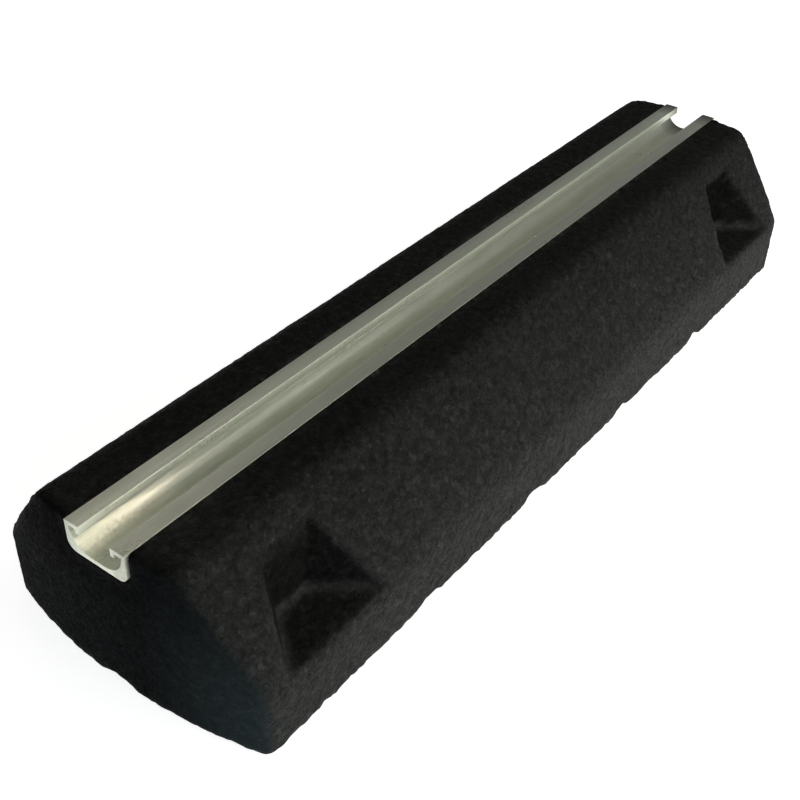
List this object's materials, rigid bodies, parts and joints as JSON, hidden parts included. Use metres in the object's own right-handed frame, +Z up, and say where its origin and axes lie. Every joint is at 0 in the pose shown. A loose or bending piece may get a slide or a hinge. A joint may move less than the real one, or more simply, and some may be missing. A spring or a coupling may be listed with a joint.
{
  "type": "rubber equipment support foot",
  "caption": "Long black moulded rubber foot with sloping sides and corner pockets, and an aluminium C-channel let in flush along its top for bolting equipment down on a floor or flat roof.",
  "frame": {"origin": "centre of the foot's underside, on the surface it stands on", "axes": "+X along the rail, +Z up, Y across the foot"},
  "size_m": [0.6, 0.18, 0.1],
  "materials": {
    "rubber_granulate": "matt, pressed black granulate with a speckled skin",
    "mill_aluminium": "mill finish, faint lengthwise die lines",
    "zinc_plated_steel": "bright zinc plated",
    "grey_nylon": "moulded, plain"
  },
  "bodies": {
    "root": {"rubber_block": "rubber_granulate", "channel_rail": "mill_aluminium", "rail_screw_1": "zinc_plated_steel", "rail_screw_2": "zinc_plated_steel", "rail_screw_3": "zinc_plated_steel", "rail_screw_4": "zinc_plated_steel", "screw_plug_1": "grey_nylon", "screw_plug_2": "grey_nylon", "screw_plug_3": "grey_nylon", "screw_plug_4": "grey_nylon"}
  },
  "joints": []
}
